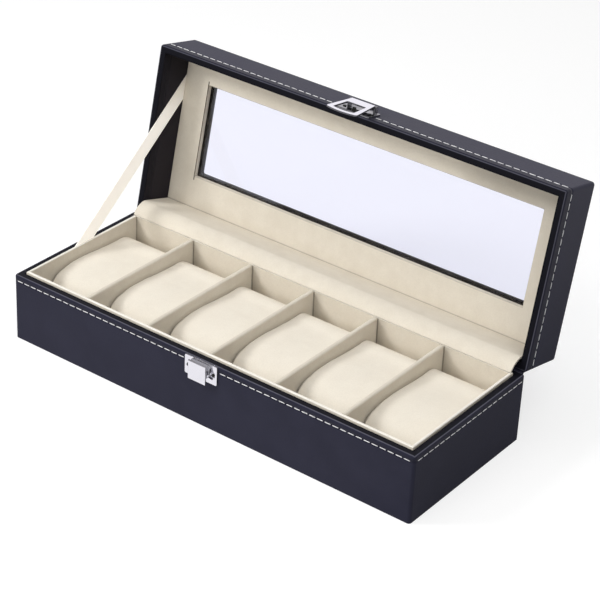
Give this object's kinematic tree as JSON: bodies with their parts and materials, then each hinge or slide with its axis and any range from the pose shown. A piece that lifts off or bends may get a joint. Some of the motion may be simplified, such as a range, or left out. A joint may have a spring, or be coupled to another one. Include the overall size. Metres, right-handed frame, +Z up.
{
  "type": "watch box",
  "caption": "Leather-covered watch box with a velvet-lined row of pillowed slots, a hinged lid with a clear window, a ribbon stay and a chrome hasp with a sprung catch.",
  "frame": {"origin": "middle of the underside of the base", "axes": "+X along the box to the right, +Y to the hinge side, +Z up; the catch is on the -Y face"},
  "size_m": [0.3, 0.1735, 0.1608],
  "materials": {
    "leather": "smooth blue-black leatherette with a fine pebble and pale stitching",
    "lining_velvet": "short cream velvet",
    "pillow_velvet": "short cream velvet, padded",
    "board": "raw fibre board",
    "felt": "black felt",
    "pane": "clear polished sheet",
    "ribbon": "cream satin ribbon",
    "chrome": "polished plating",
    "dark_metal": "blackened nails and rivet",
    "spring_steel": "bright spring wire"
  },
  "bodies": {
    "base": {"base_board_back": "board", "base_board_floor": "board", "base_board_front": "board", "base_board_left": "board", "base_board_right": "board", "base_felt": "felt", "base_leather_cover": "leather", "catch_bracket": "chrome", "catch_nails": "dark_metal", "catch_spring": "spring_steel", "divider_1": "lining_velvet", "divider_2": "lining_velvet", "divider_3": "lining_velvet", "divider_4": "lining_velvet", "divider_5": "lining_velvet", "floor_lining": "lining_velvet", "hinge_leather": "leather", "hinge_velvet": "lining_velvet", "liner_back": "lining_velvet", "liner_front": "lining_velvet", "liner_left": "lining_velvet", "liner_right": "lining_velvet", "stay_ribbon": "ribbon"},
    "lid": {"hasp_nails": "dark_metal", "hasp_pin": "chrome", "hasp_plate": "chrome", "hasp_rivet": "dark_metal", "lid_board_back": "board", "lid_board_frame": "board", "lid_board_front": "board", "lid_board_left": "board", "lid_board_right": "board", "lid_leather_cover": "leather", "lid_velvet_panel": "lining_velvet", "window_pane": "pane"},
    "hasp": {"hasp_flap": "chrome"},
    "catch_button": {"catch_button": "chrome", "catch_pin": "chrome"},
    "pillow_1": {"pillow_1": "pillow_velvet"},
    "pillow_2": {"pillow_2": "pillow_velvet"},
    "pillow_3": {"pillow_3": "pillow_velvet"},
    "pillow_4": {"pillow_4": "pillow_velvet"},
    "pillow_5": {"pillow_5": "pillow_velvet"},
    "pillow_6": {"pillow_6": "pillow_velvet"}
  },
  "joints": [
    {"name": "lid_hinge", "type": "hinge", "parent": "base", "child": "lid", "pos_m": [0, 0.0563, 0.04525], "axis": [-1, 0, 0], "range_deg": [-102, 0], "deforming": ["hinge_leather", "hinge_velvet", "stay_ribbon"]},
    {"name": "hasp_swing", "type": "hinge", "parent": "lid", "child": "hasp", "pos_m": [0, 0.09148, 0.15667], "axis": [-1, 0, 0], "range_deg": [0, 100]},
    {"name": "catch_slide", "type": "slide", "parent": "base", "child": "catch_button", "axis": [0, 0, 1], "range_m": [0, 0.0028], "stiffness_N_per_m": 300, "springref_m": -0.002, "deforming": ["catch_spring"]},
    {"name": "pillow_1_lift", "type": "slide", "parent": "base", "child": "pillow_1", "axis": [0, 0, 1], "range_m": [0, 0.09]},
    {"name": "pillow_2_lift", "type": "slide", "parent": "base", "child": "pillow_2", "axis": [0, 0, 1], "range_m": [0, 0.09]},
    {"name": "pillow_3_lift", "type": "slide", "parent": "base", "child": "pillow_3", "axis": [0, 0, 1], "range_m": [0, 0.09]},
    {"name": "pillow_4_lift", "type": "slide", "parent": "base", "child": "pillow_4", "axis": [0, 0, 1], "range_m": [0, 0.09]},
    {"name": "pillow_5_lift", "type": "slide", "parent": "base", "child": "pillow_5", "axis": [0, 0, 1], "range_m": [0, 0.09]},
    {"name": "pillow_6_lift", "type": "slide", "parent": "base", "child": "pillow_6", "axis": [0, 0, 1], "range_m": [0, 0.09]}
  ]
}
